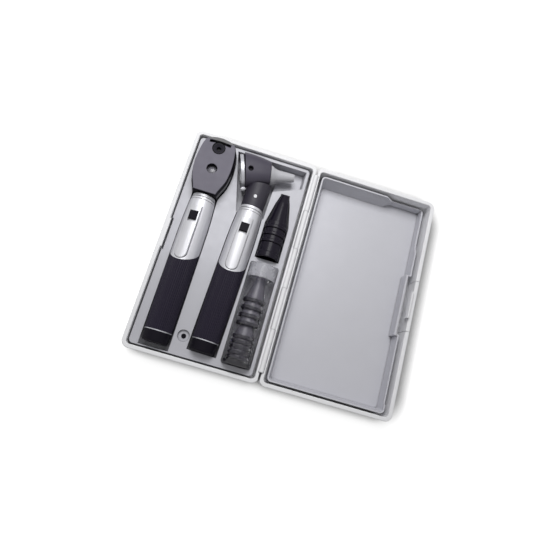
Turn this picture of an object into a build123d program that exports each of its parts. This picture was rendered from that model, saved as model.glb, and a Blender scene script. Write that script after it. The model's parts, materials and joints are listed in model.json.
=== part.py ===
from build123d import *
from math import cos, pi, radians, sin, tan
import os

# Otoscope and ophthalmoscope carry case, open flat, with its instruments in place.
# Millimetres. X runs across the two halves (base at -X, lid at +X), Y runs along the hinge,
# and Z is up. The origin is on the table, under the middle of the hinge.

# ---------------------------------------------------------------- case
HALF_DEPTH = 19.0            # table to the rim plane, where the hinge axis lies
RIM_GAP = 0.1                # each rim stops this far short of the hinge axis
WALL = 3.0                   # side walls, which show as the rim
FLOOR = 2.0                  # bottom of each half
HINGE_FACE = 0.2             # hinge face of each half from the hinge axis
CORNER_R = 5.5               # upright corners, outside
EDGE_R = 2.4                 # bottom edge, outside
RIM_EDGE_R = 0.5             # rounding of the rim
INNER_CORNER_R = 2.6         # upright corners, inside

# ---------------------------------------------------------------- hinge
KNUCKLE_R = 1.8
KNUCKLE_COUNT = 5            # odd ones on the base, even ones on the lid
KNUCKLE_GAP = 0.2            # between neighbouring knuckles
HINGE_END_LOW = 9.0          # case end to the first knuckle, handle end
HINGE_END_HIGH = 8.0         # the same, head end
PIN_R = 0.8
PIN_FIT = 0.05               # radial running clearance on every pin
SWING_GAP = 0.3              # groove around the other half's knuckles
END_RELIEF = 0.8             # notch beyond each end of the hinge

# ---------------------------------------------------------------- latch
LATCH_WIDTH = 40.0
LATCH_GAP = 0.3              # around the latch in its window
LATCH_SILL = 3.6             # lower edge of the latch window
LATCH_PIN_Z = 9.5
LATCH_PIN_OVERHANG = 4.0     # pin beyond each side of the latch
HOOK_WIDTH = 21.0
HOOK_REACH = 2.7             # hook above the rim plane
HOOK_THICK = 0.8
BARB = 0.8                   # how far the barb stands out from the hook
BARB_HEIGHT = 1.0
CATCH_RIB = 0.9              # rib inside the base's front rim
CATCH_HEIGHT = 1.2
CATCH_EXTRA = 1.0            # rib's extra width each side of the hook
HOOK_CLEARANCE = 0.25        # hook to rib when shut
HOOK_ARM_DROP = 3.0          # top of the hook's arm below the rim plane
HOOK_ARM_THICK = 1.6

# ---------------------------------------------------------------- tray in the base
TRAY_DROP = 3.0              # tray surface below the rim plane
SHEET = 0.9                  # tray sheet
TRAY_GAP_FRONT = 0.75        # tray edge to the inside of the rim, front
TRAY_GAP_HINGE = 2.0         # the same, hinge side
TRAY_GAP_TOP = 0.7           # the same, instrument-head end
TRAY_GAP_BOTTOM = 1.0        # the same, handle end
TRAY_CORNER_R = 3.2
TRAY_EDGE_R = 0.5
POCKET_SIDE_GAP = 0.6        # beside each piece in its pocket
SEAT_GAP = 0.3               # under each piece in its pocket
LATCH_INSET = 1.1            # tray edge drawn back beside the latch

# ---------------------------------------------------------------- liner in the lid
PANEL_DROP = 16.0            # liner's panel below the rim plane
LINER_GAP_HINGE = 2.4
LINER_GAP_FRONT = 2.6
LINER_GAP_TOP = 1.7
LINER_GAP_BOTTOM = 1.6
FLANGE_DROP = 3.0            # hinge side, handle end and most of the head end
FRONT_FLANGE_DROP = 4.8      # front side
CORNER_FLANGE_DROP = 8.3     # corner over the ophthalmoscope's head
FLANGE_W = 1.1               # flat edge of the liner
FRONT_FLANGE_W = 1.0
WALL_LEAN_HINGE = 2.3        # how far each liner wall leans in by the panel
WALL_LEAN_FRONT = 0.6
WALL_LEAN_TOP = 3.0
WALL_LEAN_BOTTOM = 2.0
CORNER_POCKET_X = 61.0       # where the corner pocket starts, from the hinge axis
CORNER_POCKET_RUN = 6.5      # length of its slanted start
CORNER_EDGE_W = 0.7          # liner edge left beside the corner pocket
LOW_FLANGE_Y = 47.0          # where the front flange steps down
LATCH_BAY = 2.4              # liner drawn back beside the latch
LATCH_BAY_LOW_Y = -23.6
LATCH_BAY_HIGH_Y = 23.8

# ---------------------------------------------------------------- instrument handle
HANDLE_R = 10.4              # widest
CAP_R = HANDLE_R - 0.8
COLLAR_R = HANDLE_R - 1.4
SHOULDER_R = HANDLE_R - 0.9  # sleeve beside the collar
CAP_LEN = 8.3
TRIM_LEN = 0.7
TRIM_PROUD = 0.25
SLEEVE_SPLIT_Y = 68.9        # where sleeve meets grip, on the axis
SPLIT_SLOPE = 0.75           # fall of that joint line towards the clip side
TAPER_START_Y = 40.0         # grip is full width above here
SHOULDER_Y = 88.0            # sleeve narrows above here
SLEEVE_END = 110.2
SLEEVE_END_WALL = 1.2
COLLAR_TOP = 115.0
COLLAR_GROOVE = 0.5          # depth of the grooves round the collar
COLLAR_GROOVE_W = 0.6
COLLAR_SEAM = 0.4            # groove between sleeve and collar
COLLAR_BAND = 2.0            # top of the collar's band, from the sleeve
COLLAR_PROUD = 0.25
COLLAR_DRAFT = 0.3
CELL_R = 7.2                 # AA cell
CELL_LEN = 49.2
CELL_NUB_R = 2.7
CELL_NUB_LEN = 1.2
CELL_FIT = 0.2
SPRING_WIRE_R = 0.4
SPRING_R = 5.0
SPRING_LEN = 5.2
SPRING_TURNS = 4
CELL_EDGE_R = 0.6
CELL_START = 0.3             # first cell above the end cap
CONTACT_HOLE = 1.0           # hole round the upper contact
CAP_FLOOR = 2.0
CAP_DRAFT = 0.35
CAP_EDGE_R = 1.9
FLUTE_COUNT = 42
FLUTE_DEPTH = 0.32
FLUTE_LAND = 0.35            # share of the pitch left between grooves
CLIP_W = 9.2
CLIP_SEAT_GAP = 0.25         # groove round the clip
CLIP_LOW_Y = 62.2
CLIP_HIGH_Y = 103.7
CLIP_SEAT = HANDLE_R - 1.4   # flat on the sleeve, from the axis
CLIP_THICK = 2.0
SLOT_W = 6.5
CLIP_EDGE_R = 0.5
SLOT_LOW_Y = 90.6
SLOT_FLOOR = 0.5             # clip left under the switch
SWITCH_LEN = 6.6
SWITCH_GAP = 0.15
SWITCH_PROUD = 0.5
SWITCH_TRAVEL = 2.0
SWITCH_EDGE_R = 0.3
SLOT_HIGH_Y = SLOT_LOW_Y + SWITCH_LEN + SWITCH_TRAVEL + 2 * SWITCH_GAP

# ---------------------------------------------------------------- ophthalmoscope
OPH_SIDE_ROOM = 3.8          # widest part of the head to the inside of the front rim
OPH_END_ROOM = 5.3           # end cap to the inside of the rim
OPH_HEAD_ROOM = 3.0          # top of the head to the inside of the rim
OPH_CLIP_ROLL = -10.0        # clip turned about the handle's axis
HEAD_HALF = 14.0             # half width of the flat face at its widest
HEAD_WIDEST_Y = 140.6
HEAD_TOP_Y = 161.7
FACE_Z = 11.5                # face above the handle's axis
COVER_T = 4.5
BODY_STEP = 0.9              # rear housing is this much wider than the face
HOUSING_LOW = -9.8
HOUSING_WALL = 1.6
SIGHT_Y = 152.8
SIGHT_R = 1.8
SIGHT_RING_R = 4.6
SIGHT_RING_GAP = 0.5         # groove round the aperture ring
SIGHT_RING_DROP = 0.3        # ring below the face
SIGHT_RING_T = 1.9
SIGHT_DISH = 1.1             # depth of the dish in the ring
SIGHT_DISH_EDGE = 0.8        # flat edge left round the dish
SIGHT_GLASS_T = 0.8
SIGHT_GLASS_IN = 0.2         # glass above the cover's underside
PLATE_T = 0.8                # face plate on the cover
READ_Y = 135.2
READ_R = 4.1
READ_DEPTH = 3.0             # reading window below the face
READ_GLASS_R = 3.5
READ_GLASS_T = 1.3
READ_DOME = 0.8
READ_FLANGE_T = 0.3
WHEEL_NOTCH_R = 0.32
WHEEL_NOTCH_COUNT = 72
WHEEL_LENS_IN = 0.6          # lenses below the faces of the wheel
WHEEL_R = 15.25
WHEEL_T = 2.2
WHEEL_GAP = 0.3
WHEEL_PIN_R = 1.5
WHEEL_BOSS = 2.0             # boss round the pin
WHEEL_LENS_R = 1.6
WHEEL_LENS_COUNT = 12
DIAL_R = 6.2
DIAL_T = 1.0
DIAL_GAP = 0.1
DIAL_NOTCH_R = 0.4
DIAL_NOTCH_COUNT = 24
HOUSING_EDGE = 1.6           # chamfer round the back of the housing
HOUSING_NECK_RUN = 6.0
MIRROR_SIZE = 5.0
MIRROR_WIDTH = 3.0
MIRROR_BACK = 4.0            # foot of the mirror below the sight hole
BROW_HALF = 8.4              # half length of the slot under the brow rest
BROW_SLOT_W = 2.3
BROW_SLOT_MID_Y = 157.7
BROW_SLOT_BEND_R = 48.0      # the slot follows the top of the head
BROW_SLOT_DEPTH = 2.6
BROW_HIGH_Y = 158.6          # start of the brow rest
BROW_PAD_T = 2.2
BROW_EDGE_R = 0.6
LAMP_R = 2.6
LAMP_LEN = 12.0
LAMP_FIT = 0.1
LAMP_FOOT = 2.0              # lamp above the collar
LAMP_ROOM = 2.0              # room beyond the lamp
NECK_R = 8.4

# ---------------------------------------------------------------- otoscope
OPH_TO_OTO = 33.7            # from the ophthalmoscope's axis to the end of this handle
OTO_TO_STACK = 25.7          # from the end of this handle to the axis of the specula
OTO_END_ROOM = 7.7           # end cap to the inside of the rim
OTO_TILT = 1.7               # handle leans this far towards +X
OPTIC_X = 5.0                # front of the head on the optical axis, handle frame
OPTIC_Y = 147.0
OPTIC_Z = 0.5
OPTIC_SLOPE = 12.7           # optical axis, from the handle frame's X
HEAD_REAR_A = 14.2           # rear section, half length along the handle
HEAD_MID_A = 12.6            # the same, half way to the front
HEAD_REAR_B = 12.0           # rear section, half depth
HEAD_MID_B = 11.4
HEAD_RISE = 0.9              # rear section's middle, towards the top of the head
HEAD_SQUARE = 2.7            # power of the sections' outline, 2 for an ellipse
SECTION_POINTS = 24
HEAD_FRONT_R = 9.8
REAR_BACK = 20.0             # rear section behind the front one
REAR_LEAN = 6.0              # rear face leans this much further
OTO_WALL = 1.6
NOSE_R = 6.7
NOSE_PLUG_R = 5.18           # plug of the nose cone in the head
NOSE_FIT = 0.02
NOSE_MID = 4.5
NOSE_MID_R = 4.2
NOSE_TIP_R = 3.4
NOSE_BORE_R = 2.4
NOSE_LEN = 9.0
SPECULUM_BASE_R = 8.1
SPECULUM_TIP_R = 3.1
SPECULUM_LEN = 19.0
SPECULUM_WALL = 0.8
SPECULUM_GAP = 0.3
SPECULUM_ROOM = 0.7          # neck cut back round the speculum
WINDOW_A = 14.0
WINDOW_B = 12.2
WINDOW_T = 2.6
WINDOW_GAP = 0.9
WINDOW_RIM = 2.0
WINDOW_LEAN = 8.0            # window plane, from square across the optical axis
WINDOW_LENS_T = 1.4
WINDOW_PIVOT_Y = -14.3       # pivot of the window, along its plane
WINDOW_PIVOT_R = 1.0
WINDOW_TAB_R = 2.4
WINDOW_LUG = 2.6             # lug on the head behind the pivot
WINDOW_LUG_WALL = 1.3
WINDOW_PIVOT_END = 0.3       # pivot proud of the frame
PORT_R = 2.1
PORT_BORE_R = 1.6
PORT_SINK = 0.6              # port's face below the top of the head
PORT_LEN = 2.2
PORT_DEPTH = 1.8
PORT_BACK = 15.6             # behind the head's front, on the optical axis
PORT_OFF = -1.6
NECK_TOP = 134.0
NECK_END = -10.9             # end of the neck's outside, across the optical axis
NECK_CORE_R = 6.0            # neck inside the head
NECK_CORE_END = 142.0
NECK_STEP = 0.2              # neck narrower than the collar at its foot
NECK_FLARE = 0.6             # neck wider at the head than at its foot
NECK_SCREW_Y = 122.8
NECK_SCREW_R = 1.3
NECK_SCREW_LEN = 3.0
NECK_SCREW_PROUD = 0.45
NECK_SCREW_SLOT = 0.4
OTO_LAMP_LOW = 122.0
OTO_LAMP_HIGH = 137.6
OTO_LAMP_ROOM = 139.0        # end of the lamp's hole

# ---------------------------------------------------------------- reusable specula
STACK_LOW_Y = 2.8
TIP_LEN = 30.7
TIP_PITCH = 5.8              # each tip stands this far out of the next
TIP_FIRST_PITCH = 12.0       # and the innermost one, which has a taller skirt
TIP_BASE_R = 8.8
TIP_END_R = (2.0, 2.3, 2.6, 2.9)     # innermost tip first
TIP_WALL = 0.75
TIP_LIP_SHARE = 0.55         # rounded end, as a share of its radius
TIP_FLANGE = 2.5             # flange at the base
TIP_FIRST_FLANGE = 4.3
TIP_WAISTED_R = 8.2          # skirt between the flange and the shoulder
TIP_SKIRT = 5.3
TIP_SHOULDER_R = 7.4
TIP_WAIST_Y = 22.4
TIP_WAIST_R = 4.93
TIP_WAIST_TAPER = 0.3        # waist radius grows by this share of the end radius
TIP_NECK = 2.4               # straight run behind the rounded end

# ---------------------------------------------------------------- dispenser
DISPENSER_SIDE_ROOM = 5.0    # cap to the inside of the hinge side
DISPENSER_END_ROOM = 5.6     # foot to the inside of the rim
STACK_GAP = 5.4              # cap to the reusable specula
DISPENSER_R = 10.0
DISPENSER_WALL = 1.0
DISPENSER_CAP_LEN = 11.2
DISPENSER_CAP_R = 10.6
DISPENSER_FOOT_LEN = 4.2
CAP_OVERLAP = 6.0
DISPOSABLE_BASE_R = 8.4
DISPOSABLE_SKIRT = 2.2
DISPOSABLE_SHOULDER_R = 7.2
DISPOSABLE_LEN = 24.0
SMALL_PITCH = 3.8
LARGE_PITCH = 5.9
DISPOSABLE_WALL = 0.6
SMALL_TIP_R = 1.7
LARGE_TIP_R = 2.4
SMALL_COUNT = 5
LARGE_COUNT = 4
LARGE_START = 25.2           # upper group above the tube's plug
POCKET_END_GAP = 1.2

# ---------------------------------------------------------------- recesses in the tray
HANDLE_RECESS_END = 3.3      # finger room beyond the ophthalmoscope's end cap
RECESS_END_R = 3.4           # corners of the handles' recesses at the end cap
TIP_RECESS_R = 2.0           # end of the recess round the tips
RECESS_TOP_STRIP = 2.8       # tray left between the recess and the tray's head end
RECESS_HINGE_STRIP = 2.55    # tray left between the recesses and the tray's hinge edge
RECESS_LEAN = 1.4            # lean of the recess wall beside the speculum
RECESS_CORNER_Y = 66.6
RECESS_SLOPE = 24.0          # slanted wall below the speculum

# ---------------------------------------------------------------- tray screw
SCREW_FROM_OPH = 17.9        # from the ophthalmoscope's axis
SCREW_END_ROOM = 15.7        # to the inside of the rim
SCREW_HEAD_R = 1.7
SCREW_HEAD_T = 1.0
SCREW_DRIVE_R = 0.9
SCREW_BOSS_WALL = 2.0
SCREW_SHANK_R = 1.25
SCREW_LEN = 9.0
DIMPLE_R = 4.4
DIMPLE_DEPTH = 2.0

# ---------------------------------------------------------------- what follows from these
# The instruments set the size of the case, side by side and end to end.
HEAD_SIDE = HEAD_HALF + BODY_STEP
HALF_WIDTH = (2 * WALL + OPH_SIDE_ROOM + HEAD_SIDE + OPH_TO_OTO + OTO_TO_STACK + DISPENSER_CAP_R
              + DISPENSER_SIDE_ROOM)
CASE_LENGTH = 2 * WALL + OPH_END_ROOM + HEAD_TOP_Y + OPH_HEAD_ROOM
RIM_Z = HALF_DEPTH
TRAY_Z = RIM_Z - TRAY_DROP
AXIS_Z = TRAY_Z
INNER_FRONT = HALF_WIDTH + HINGE_FACE - WALL
INNER_HINGE = HINGE_FACE + WALL
INNER_END = CASE_LENGTH / 2 - WALL
OPH_X = -(INNER_FRONT - OPH_SIDE_ROOM - HEAD_SIDE)
OPH_END_Y = -(INNER_END - OPH_END_ROOM)
OTO_X = OPH_X + OPH_TO_OTO
OTO_END_Y = -(INNER_END - OTO_END_ROOM)
STACK_X = OTO_X + OTO_TO_STACK
DISPENSER_LOW_Y = -(INNER_END - DISPENSER_END_ROOM)
DISPENSER_HIGH_Y = STACK_LOW_Y - STACK_GAP
DISPENSER_LEN = DISPENSER_HIGH_Y - DISPENSER_LOW_Y
SCREW_X = OPH_X + SCREW_FROM_OPH
SCREW_Y = -(INNER_END - SCREW_END_ROOM)
HINGE_LOW_Y = -(CASE_LENGTH / 2 - HINGE_END_LOW)
HINGE_HIGH_Y = CASE_LENGTH / 2 - HINGE_END_HIGH
BIG = 400.0

os.makedirs("parts", exist_ok=True)


def save(name, shape):
    """Write one named piece."""
    export_step(shape, f"parts/{name}.step")


def round_spot(ring_r, angle, radius):
    """A circle of the lens wheel's or the aperture dial's pattern, about the wheel's centre."""
    return Location((0, HEAD_WIDEST_Y), (0, 0, angle)) * Location((ring_r, 0)) * Circle(radius)


def bulb(low, high):
    """A lamp along Y with a round end."""
    return rod_y(LAMP_R, low, high - LAMP_R) + Location((0, high - LAMP_R, 0)) * Sphere(LAMP_R)


def box(x0, x1, y0, y1, z0, z1):
    """A box from its two corners."""
    middle = Location(((x0 + x1) / 2, (y0 + y1) / 2, (z0 + z1) / 2))
    return middle * Box(abs(x1 - x0), abs(y1 - y0), abs(z1 - z0))


def rod_y(radius, y0, y1, x=0.0, z=0.0):
    """A cylinder along Y."""
    return Location((x, (y0 + y1) / 2, z), (90, 0, 0)) * Cylinder(radius, abs(y1 - y0))


def rod_z(radius, z0, z1, x=0.0, y=0.0):
    """A cylinder along Z."""
    return Location((x, y, (z0 + z1) / 2)) * Cylinder(radius, abs(z1 - z0))


def turned(points):
    """A body of revolution about Y from (radius, y) points."""
    face = make_face(Polyline(*[(r, y) for r, y in points], close=True))
    return revolve(face, Axis.Y)


def slab(face, z0, z1):
    """A flat face in XY raised from z0 to z1."""
    return Location((0, 0, z0)) * extrude(face, z1 - z0)


def rounded_rect(x0, x1, y0, y1, radius):
    """A rectangle with rounded corners."""
    return Location(((x0 + x1) / 2, (y0 + y1) / 2)) * RectangleRounded(x1 - x0, y1 - y0, radius)


# ================================================================ case halves
def tub(side):
    """One half shell. side is -1 for the base and +1 for the lid."""
    y_end = CASE_LENGTH / 2
    rim = RIM_Z - RIM_GAP
    near, far = sorted((side * HINGE_FACE, side * (HINGE_FACE + HALF_WIDTH)))
    shell = box(near, far, -y_end, y_end, 0, rim)
    shell = fillet(shell.edges().filter_by(Axis.Z), CORNER_R)
    shell = fillet(shell.faces().sort_by(Axis.Z)[0].edges(), EDGE_R)
    near, far = sorted((side * INNER_HINGE, side * INNER_FRONT))
    inside = box(near, far, -INNER_END, INNER_END, FLOOR, RIM_Z + 1)
    inside = fillet(inside.edges().filter_by(Axis.Z), INNER_CORNER_R)
    shell -= inside
    shell = fillet(shell.faces().sort_by(Axis.Z)[-1].edges(), RIM_EDGE_R)
    low, high = HINGE_LOW_Y, HINGE_HIGH_Y
    shell -= rod_y(KNUCKLE_R + SWING_GAP, low - KNUCKLE_GAP, high + KNUCKLE_GAP, 0, RIM_Z)
    for y0, y1 in ((-y_end - 1, low - KNUCKLE_GAP), (high + KNUCKLE_GAP, y_end + 1)):
        shell -= box(-END_RELIEF, END_RELIEF, y0, y1, -1, RIM_Z + 1)
    pitch = (high - low) / KNUCKLE_COUNT
    for i in range(KNUCKLE_COUNT):
        if (i % 2 == 0) != (side < 0):
            continue
        y0 = low + i * pitch + KNUCKLE_GAP / 2
        y1 = low + (i + 1) * pitch - KNUCKLE_GAP / 2
        knuckle = rod_y(KNUCKLE_R, y0, y1, 0, RIM_Z)
        near, far = sorted((0, side * (INNER_HINGE - RIM_EDGE_R)))
        knuckle += box(near, far, y0, y1, RIM_Z - KNUCKLE_R, RIM_Z - RIM_GAP)
        shell += knuckle
    return shell - rod_y(PIN_R + PIN_FIT, -y_end, y_end, 0, RIM_Z)


def base_shell():
    """Base half with the catch rib and the screw boss."""
    half = HOOK_WIDTH / 2 + CATCH_EXTRA
    top = RIM_Z - RIM_GAP
    shell = tub(-1)
    shell += box(-INNER_FRONT - 0.5, -INNER_FRONT + CATCH_RIB, -half, half, top - CATCH_HEIGHT, top)
    boss_top = TRAY_Z - DIMPLE_DEPTH - SHEET
    boss = rod_z(SCREW_SHANK_R + SCREW_BOSS_WALL, FLOOR - 0.5, boss_top, SCREW_X, SCREW_Y)
    hole = rod_z(SCREW_SHANK_R + PIN_FIT, FLOOR, boss_top + 1, SCREW_X, SCREW_Y)
    return shell + boss - hole


def lid_shell():
    """Lid half with the window for the latch."""
    half = LATCH_WIDTH / 2 + LATCH_GAP
    shell = tub(1)
    shell -= box(INNER_FRONT - 1, INNER_FRONT + WALL + 1, -half, half, LATCH_SILL, RIM_Z + 1)
    pin_half = LATCH_WIDTH / 2 + LATCH_PIN_OVERHANG + PIN_FIT
    pin_x = INNER_FRONT + WALL / 2
    return shell - rod_y(PIN_R + PIN_FIT, -pin_half, pin_half, pin_x, LATCH_PIN_Z)


def latch():
    """Rocking latch with its hook, in the lid's front wall."""
    half = LATCH_WIDTH / 2
    top = RIM_Z - RIM_GAP
    body = box(INNER_FRONT, INNER_FRONT + WALL, -half, half, LATCH_SILL + LATCH_GAP, top)
    body = fillet(body.faces().sort_by(Axis.X)[-1].edges(), RIM_EDGE_R)
    barb_tip = INNER_FRONT - CATCH_RIB - HOOK_CLEARANCE + BARB
    hook_out = barb_tip - BARB
    hook_in = hook_out - HOOK_THICK
    hook_half = HOOK_WIDTH / 2
    hook_top = RIM_Z + HOOK_REACH
    arm_low = RIM_Z - HOOK_ARM_DROP
    body += box(hook_in, INNER_FRONT + 0.5, -hook_half, hook_half, arm_low, arm_low + HOOK_ARM_THICK)
    body += box(hook_in, hook_out, -hook_half, hook_half, arm_low, hook_top)
    barb = make_face(Polyline(
        (hook_out - 0.2, hook_top - BARB_HEIGHT),
        (barb_tip, hook_top - BARB_HEIGHT),
        (barb_tip, hook_top - BARB_HEIGHT / 2),
        (hook_out, hook_top),
        (hook_out - 0.2, hook_top),
        close=True,
    ))
    body += extrude(Plane.XZ.offset(-hook_half) * barb, 2 * hook_half)
    return body - rod_y(PIN_R + PIN_FIT, -half - 1, half + 1, INNER_FRONT + WALL / 2, LATCH_PIN_Z)


def latch_pin():
    """Steel pin that the latch rocks on."""
    half = LATCH_WIDTH / 2 + LATCH_PIN_OVERHANG
    return rod_y(PIN_R, -half, half, INNER_FRONT + WALL / 2, LATCH_PIN_Z)


# ================================================================ places of the instruments
OPH_PLACE = Location((OPH_X, OPH_END_Y, AXIS_Z))
OTO_PLACE = Location((OTO_X, OTO_END_Y, AXIS_Z), (0, 0, -OTO_TILT))


# ================================================================ handle
def handle_profile_radius(y):
    """Outside radius of the handle at a distance y from its end."""
    if y < TAPER_START_Y:
        return CAP_R + (HANDLE_R - CAP_R) * y / TAPER_START_Y
    if y < SHOULDER_Y:
        return HANDLE_R
    return HANDLE_R + (SHOULDER_R - HANDLE_R) * ((y - SHOULDER_Y) / (SLEEVE_END - SHOULDER_Y)) ** 1.6


def barrel(y0, y1, steps):
    """The handle's outer form between two distances from its end."""
    ring = [(0, y0)]
    for i in range(steps + 1):
        y = y0 + (y1 - y0) * i / steps
        ring.append((handle_profile_radius(y), y))
    ring.append((0, y1))
    return turned(ring)


def clip_side_of_split():
    """Half space on the head's side of the slanted joint between sleeve and grip."""
    reach = HANDLE_R + 2
    low = SLEEVE_SPLIT_Y - SPLIT_SLOPE * reach
    high = SLEEVE_SPLIT_Y + SPLIT_SLOPE * reach
    face = make_face(Polyline((low, reach), (high, -reach), (BIG, -reach), (BIG, reach), close=True))
    return extrude(Plane.YZ.offset(-reach) * face, 2 * reach)


def clip_plan(width, low, high):
    """Plan of the clip: square at the top, round at the lower end."""
    plan = Location((0, (low + width / 2 + high) / 2)) * Rectangle(width, high - low - width / 2)
    return plan + Location((0, low + width / 2)) * Circle(width / 2)


def fluted_face(y):
    """Cross-section of the grip with its grooves, at a distance y from the handle's end."""
    radius = handle_profile_radius(y)
    pitch = 2 * pi / FLUTE_COUNT
    ring = []
    for i in range(FLUTE_COUNT):
        for turn, r in ((0, radius), (FLUTE_LAND, radius), ((1 + FLUTE_LAND) / 2, radius - FLUTE_DEPTH)):
            angle = (i + turn) * pitch
            ring.append((r * cos(angle), r * sin(angle)))
    return Plane(origin=(0, y, 0), z_dir=(0, 1, 0)) * make_face(Polyline(*ring, close=True))


def handle(prefix, place, clip_roll):
    """All pieces of one battery handle."""
    roll = Location((0, 0, 0), (0, clip_roll, 0))
    grip_low = CAP_LEN + TRIM_LEN
    bore_r = CELL_R + CELL_FIT
    split = roll * clip_side_of_split()
    grip_high = SLEEVE_SPLIT_Y + SPLIT_SLOPE * HANDLE_R + 1
    grip = loft([fluted_face(grip_low), fluted_face(TAPER_START_Y)], ruled=True)
    grip += extrude(fluted_face(TAPER_START_Y), grip_high - TAPER_START_Y)
    grip = grip - rod_y(bore_r, 0, BIG) - split
    sleeve = (barrel(SLEEVE_SPLIT_Y - SPLIT_SLOPE * HANDLE_R - 1, SLEEVE_END, 16) & split)
    sleeve -= rod_y(bore_r, 0, SLEEVE_END - SLEEVE_END_WALL)
    sleeve -= rod_y(CELL_NUB_R + CONTACT_HOLE, 0, BIG)
    clip_top = CLIP_SEAT + CLIP_THICK
    seat = clip_plan(CLIP_W + 2 * CLIP_SEAT_GAP, CLIP_LOW_Y - CLIP_SEAT_GAP, CLIP_HIGH_Y + CLIP_SEAT_GAP)
    sleeve -= roll * slab(seat, CLIP_SEAT, 2 * HANDLE_R)
    clip = slab(clip_plan(CLIP_W, CLIP_LOW_Y, CLIP_HIGH_Y), CLIP_SEAT, clip_top)
    clip = fillet(clip.faces().sort_by(Axis.Z)[-1].edges(), CLIP_EDGE_R)
    slot_z = CLIP_SEAT + SLOT_FLOOR
    clip -= box(-SLOT_W / 2, SLOT_W / 2, SLOT_LOW_Y, SLOT_HIGH_Y, slot_z, 2 * HANDLE_R)
    knob_high = SLOT_HIGH_Y - SWITCH_GAP
    knob_half = SLOT_W / 2 - SWITCH_GAP
    knob = box(-knob_half, knob_half, knob_high - SWITCH_LEN, knob_high, slot_z + SWITCH_GAP,
               clip_top + SWITCH_PROUD)
    knob = fillet(knob.faces().sort_by(Axis.Z)[-1].edges(), SWITCH_EDGE_R)
    band_top = SLEEVE_END + COLLAR_BAND
    groove_top = band_top + COLLAR_GROOVE_W
    seam_top = SLEEVE_END + COLLAR_SEAM
    collar = turned([
        (0, SLEEVE_END), (COLLAR_R - COLLAR_GROOVE, SLEEVE_END), (COLLAR_R - COLLAR_GROOVE, seam_top),
        (COLLAR_R + COLLAR_PROUD, seam_top), (COLLAR_R + COLLAR_PROUD, band_top),
        (COLLAR_R - COLLAR_GROOVE, band_top), (COLLAR_R - COLLAR_GROOVE, groove_top),
        (COLLAR_R, groove_top), (COLLAR_R - COLLAR_DRAFT, COLLAR_TOP), (0, COLLAR_TOP),
    ])
    collar -= rod_y(CELL_NUB_R + CONTACT_HOLE, SLEEVE_END - 1, COLLAR_TOP + 1)
    trim = rod_y(CAP_R + TRIM_PROUD, CAP_LEN, grip_low) - rod_y(bore_r, CAP_LEN - 1, grip_low + 1)
    cap = turned([(0, 0), (CAP_R - CAP_DRAFT, 0), (CAP_R, CAP_LEN), (0, CAP_LEN)])
    cap = fillet(cap.edges().sort_by(Axis.Y)[0], CAP_EDGE_R)
    cap -= rod_y(SPRING_R + 2 * SPRING_WIRE_R, CAP_FLOOR, CAP_LEN + 1)
    cells = []
    for i in range(2):
        y0 = CAP_LEN + CELL_START + i * (CELL_LEN + CELL_NUB_LEN)
        cell = fillet(rod_y(CELL_R, y0, y0 + CELL_LEN).edges(), CELL_EDGE_R)
        nub_low = y0 + CELL_LEN - CELL_FIT
        cells.append(cell + rod_y(CELL_NUB_R, nub_low, nub_low + CELL_NUB_LEN + CELL_FIT - PIN_FIT))
    coil = Helix(pitch=SPRING_LEN / SPRING_TURNS, height=SPRING_LEN, radius=SPRING_R)
    wire = sweep(Plane(origin=coil @ 0, z_dir=coil % 0) * Circle(SPRING_WIRE_R), path=coil, is_frenet=True)
    spring = Location((0, CAP_FLOOR + SPRING_WIRE_R + PIN_FIT, 0), (-90, 0, 0)) * wire
    pieces = {
        "grip": grip, "sleeve": sleeve, "clip": roll * clip, "switch": roll * knob,
        "collar": collar, "trim_ring": trim, "end_cap": cap, "batteries": Compound(cells),
        "contact_spring": spring,
    }
    for name, piece in pieces.items():
        save(f"{prefix}_{name}", place * piece)


# ================================================================ ophthalmoscope head
def head_points(grow):
    """Half outline of the head, from its neck to its top, grown sideways."""
    shares = ((116.0, 0.607), (121.1, 0.735), (126.5, 0.885), (133.0, 0.972), (HEAD_WIDEST_Y, 1.0),
              (147.8, 0.965), (155.2, 0.868), (159.2, 0.75))
    points = [(HEAD_HALF * share + grow, y) for y, share in shares]
    return points


def head_face(grow):
    """Plan of the head with its arched top."""
    points = head_points(grow)
    side = Spline(*points)
    other = mirror(side, Plane.YZ)
    low = Line(side @ 0, other @ 0)
    high = ThreePointArc(side @ 1, (0, HEAD_TOP_Y + grow), other @ 1)
    return make_face([side, high, other, low])


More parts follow.
